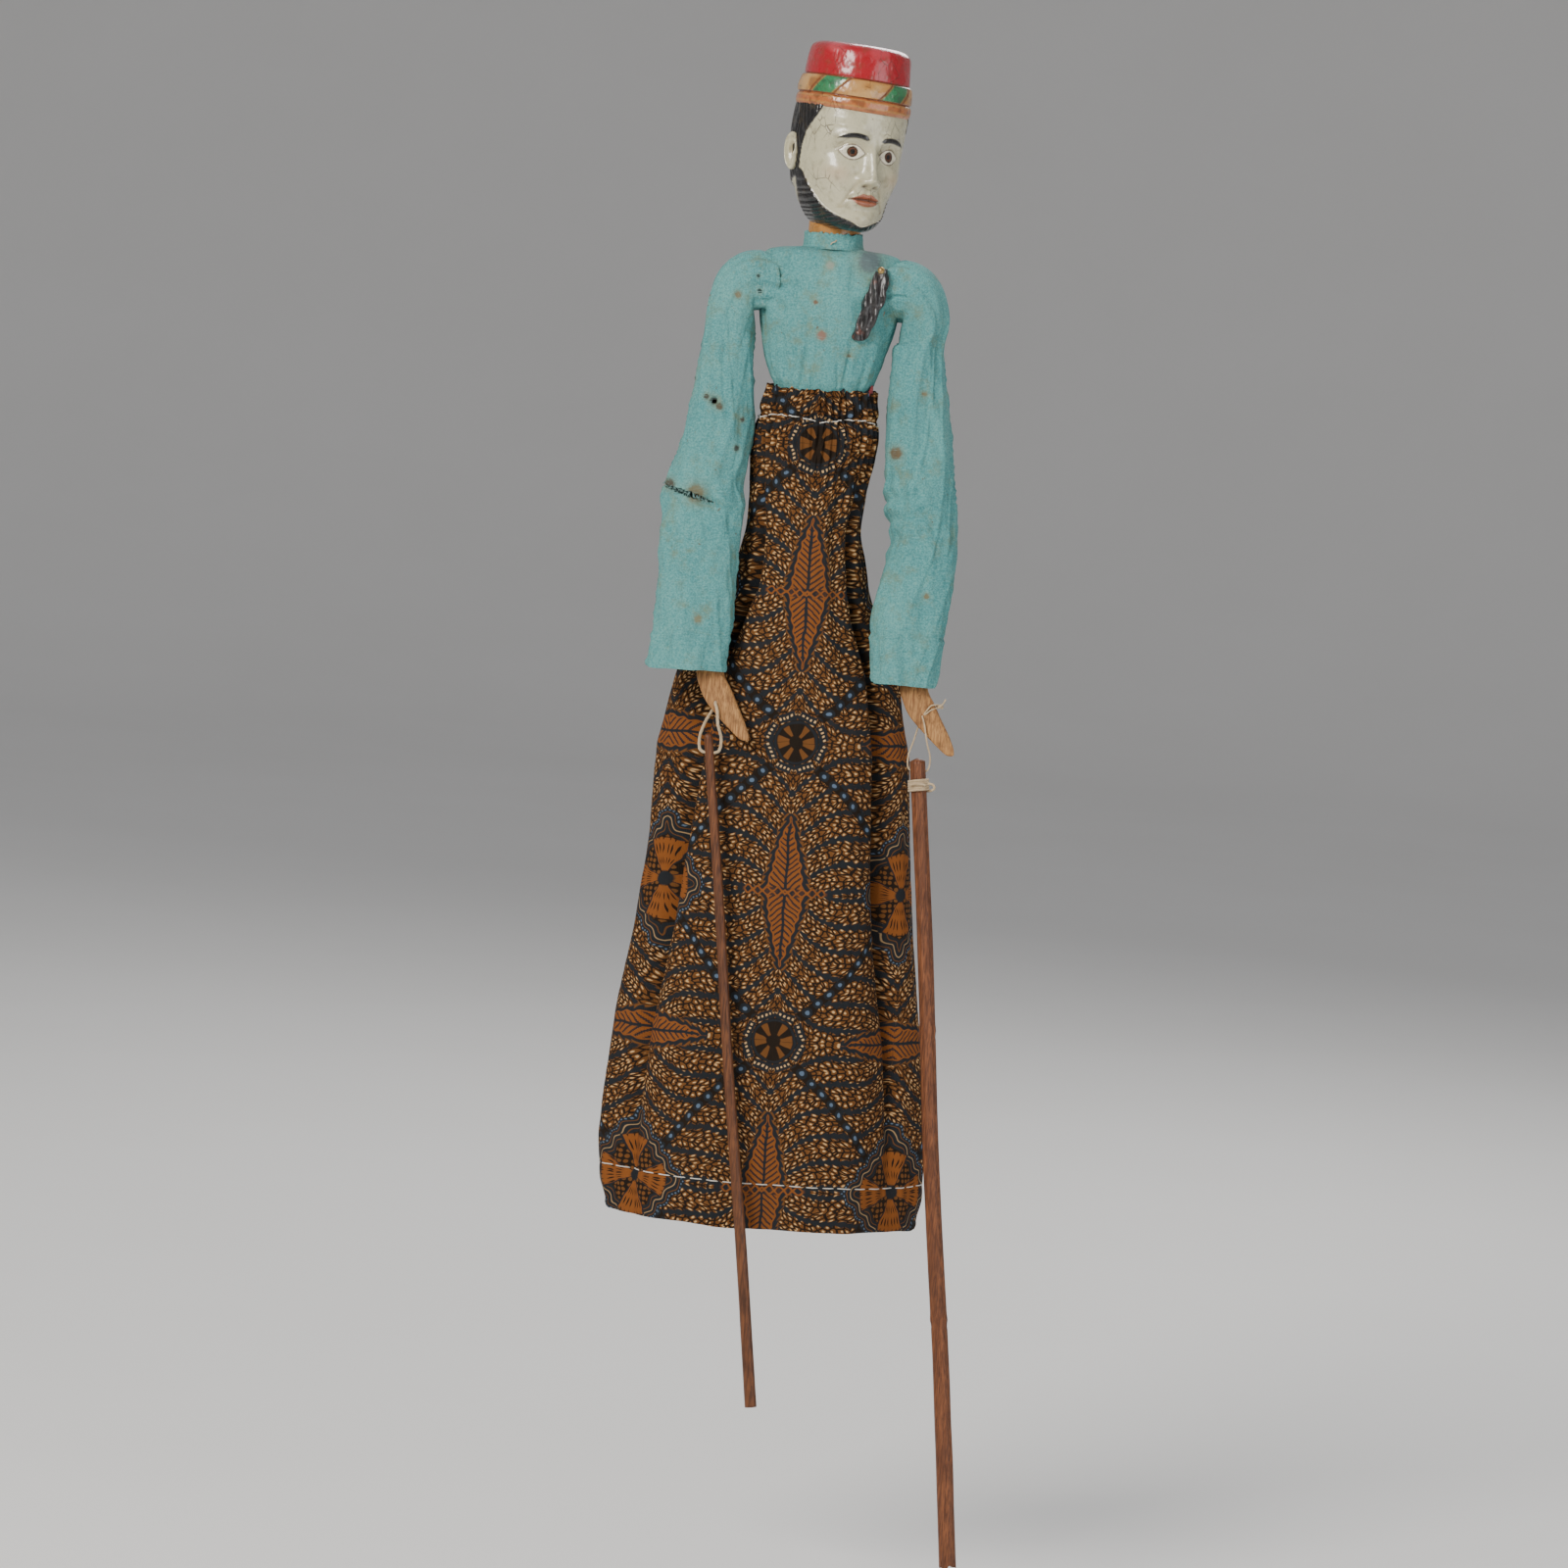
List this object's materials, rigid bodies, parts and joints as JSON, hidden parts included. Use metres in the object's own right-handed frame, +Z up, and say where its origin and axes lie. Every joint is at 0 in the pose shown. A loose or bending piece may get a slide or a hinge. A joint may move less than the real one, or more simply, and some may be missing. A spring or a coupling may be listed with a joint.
{
  "type": "rod puppet",
  "caption": "Wooden rod puppet with a carved head on a turning rod, jointed arms in a sewn jacket, a long batik sarong and arm rods.",
  "frame": {"origin": "centre of the flat foot of the central control rod", "axes": "+Z up along the control rod, the puppet faces -Y and its left hand is at +X"},
  "size_m": [0.2315, 0.152, 0.8901],
  "materials": {
    "rod_wood": "turned hardwood, hand-worn",
    "carved_wood": "bare carved softwood",
    "hand_wood": "bare tan wood, knife-finished and handled",
    "rod_bamboo": "reddish brown split bamboo, fibrous",
    "face_lacquer": "carved wood under pale glossy lacquer, black lacquered hair",
    "cap_paint": "carved wood in red, green, gold and orange-brown gloss paint",
    "jacket_cloth": "aged teal plain-weave cotton, stained",
    "sarong_batik": "brown, indigo and cream batik cotton",
    "sash_cloth": "red cotton",
    "cord": "off-white cotton and leather cord",
    "ornament": "crumpled black patent strip",
    "pin_brass": "tarnished"
  },
  "bodies": {
    "control_rod": {"control_rod": "rod_wood", "head": "face_lacquer", "cap": "cap_paint"},
    "torso": {"torso_block": "carved_wood", "jacket_body": "jacket_cloth", "jacket_collar": "jacket_cloth", "sarong": "sarong_batik", "waist_cord": "cord", "waist_sash": "sash_cloth", "chest_ornament": "ornament", "ornament_pin": "pin_brass"},
    "right_shoulder_cord": {"right_shoulder_cord": "cord"},
    "right_upper_arm": {"right_upper_arm": "carved_wood", "right_elbow_cord": "cord", "right_sleeve_upper": "jacket_cloth"},
    "right_forearm": {"right_forearm": "hand_wood", "right_sleeve_lower": "jacket_cloth"},
    "right_hand_loop": {"right_hand_loop": "cord"},
    "right_arm_rod": {"right_arm_rod": "rod_bamboo"},
    "left_shoulder_cord": {"left_shoulder_cord": "cord"},
    "left_upper_arm": {"left_upper_arm": "carved_wood", "left_elbow_cord": "cord", "left_sleeve_upper": "jacket_cloth"},
    "left_forearm": {"left_forearm": "hand_wood", "left_sleeve_lower": "jacket_cloth", "left_hand_knot": "cord"},
    "left_hand_loop": {"left_hand_loop": "cord"},
    "left_arm_rod": {"left_arm_rod": "rod_bamboo", "left_rod_lashing": "cord"}
  },
  "joints": [
    {"name": "torso_turn", "type": "hinge", "parent": "control_rod", "child": "torso", "pos_m": [0, 0, 0.44], "axis": [0, 0, 1], "continuous": true},
    {"name": "right_shoulder_swing", "type": "hinge", "parent": "torso", "child": "right_shoulder_cord", "pos_m": [-0.051, 0, 0.53], "axis": [-1, 0, 0], "range_deg": [0, 110]},
    {"name": "right_shoulder_raise", "type": "hinge", "parent": "right_shoulder_cord", "child": "right_upper_arm", "pos_m": [-0.051, 0, 0.53], "axis": [0, 1, 0], "range_deg": [0, 70]},
    {"name": "right_elbow_bend", "type": "hinge", "parent": "right_upper_arm", "child": "right_forearm", "pos_m": [-0.064, -0.012, 0.4], "axis": [-1, 0, 0], "range_deg": [0, 100]},
    {"name": "right_hand_loop_swing", "type": "hinge", "parent": "right_forearm", "child": "right_hand_loop", "pos_m": [-0.049, -0.04103, 0.281], "axis": [0, 1, 0], "range_deg": [-8, 60]},
    {"name": "right_arm_rod_tilt", "type": "hinge", "parent": "right_hand_loop", "child": "right_arm_rod", "pos_m": [-0.0505, -0.044, 0.251], "axis": [-1, 0, 0], "range_deg": [0, 90]},
    {"name": "left_shoulder_swing", "type": "hinge", "parent": "torso", "child": "left_shoulder_cord", "pos_m": [0.051, 0, 0.53], "axis": [-1, 0, 0], "range_deg": [0, 110]},
    {"name": "left_shoulder_raise", "type": "hinge", "parent": "left_shoulder_cord", "child": "left_upper_arm", "pos_m": [0.051, 0, 0.53], "axis": [0, -1, 0], "range_deg": [0, 70]},
    {"name": "left_elbow_bend", "type": "hinge", "parent": "left_upper_arm", "child": "left_forearm", "pos_m": [0.064, -0.012, 0.4], "axis": [-1, 0, 0], "range_deg": [0, 100]},
    {"name": "left_hand_loop_swing", "type": "hinge", "parent": "left_forearm", "child": "left_hand_loop", "pos_m": [0.073, -0.04084, 0.282], "axis": [0, 1, 0], "range_deg": [-8, 13]},
    {"name": "left_arm_rod_tilt", "type": "hinge", "parent": "left_hand_loop", "child": "left_arm_rod", "pos_m": [0.0728, -0.044, 0.249], "axis": [-1, 0, 0], "range_deg": [0, 90]}
  ]
}
